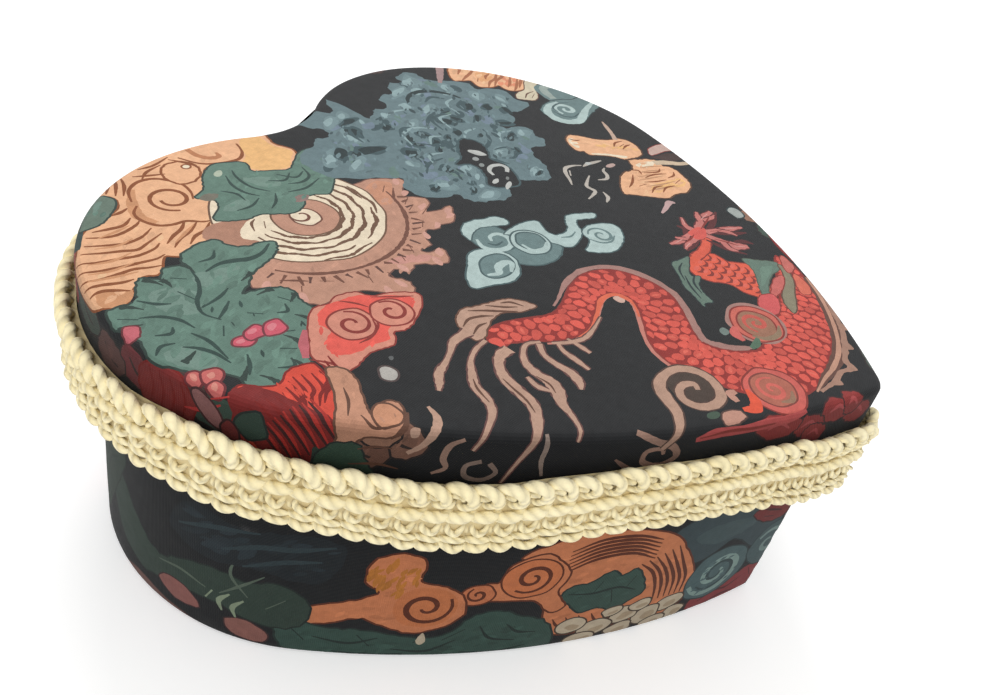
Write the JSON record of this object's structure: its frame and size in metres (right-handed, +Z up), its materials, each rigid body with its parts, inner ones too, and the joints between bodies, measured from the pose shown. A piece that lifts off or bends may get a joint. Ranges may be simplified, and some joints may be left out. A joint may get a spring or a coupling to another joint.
{
  "type": "keepsake box",
  "caption": "Heart-shaped keepsake box of bent card covered in printed brocade cloth, with a slip-over lid edged by a crocheted cotton band.",
  "frame": {"origin": "centre of the bounding box on the surface that the box stands on", "axes": "+Z up, +X across the heart, -Y towards the heart's tip"},
  "size_m": [0.2508, 0.2243, 0.0917],
  "materials": {
    "chipboard": "matt grey-brown chipboard",
    "brocade": "printed cotton brocade with coloured motifs on a near-black ground",
    "lining": "plain old-gold sateen lining",
    "crochet_cotton": "matt cream cotton yarn, crocheted",
    "gummed_tape": "brown gummed paper",
    "under_cloth": "black felt sheet"
  },
  "bodies": {
    "base": {"base_floor_board": "chipboard", "base_wall_strip": "chipboard", "base_joint_tape": "gummed_tape", "base_cover_cloth": "brocade", "base_under_sheet": "under_cloth", "base_wall_lining": "lining", "floor_pad_card": "chipboard", "floor_pad_cushion": "lining"},
    "lid": {"lid_top_board": "chipboard", "lid_wall_strip": "chipboard", "lid_joint_tape": "gummed_tape", "lid_cover_cloth": "brocade", "lid_ceiling_lining": "lining", "lid_wall_lining": "lining", "crocheted_band": "crochet_cotton"}
  },
  "joints": [
    {"name": "lid_lift", "type": "slide", "parent": "base", "child": "lid", "axis": [0, 0, 1], "range_m": [0, 0.1]}
  ]
}
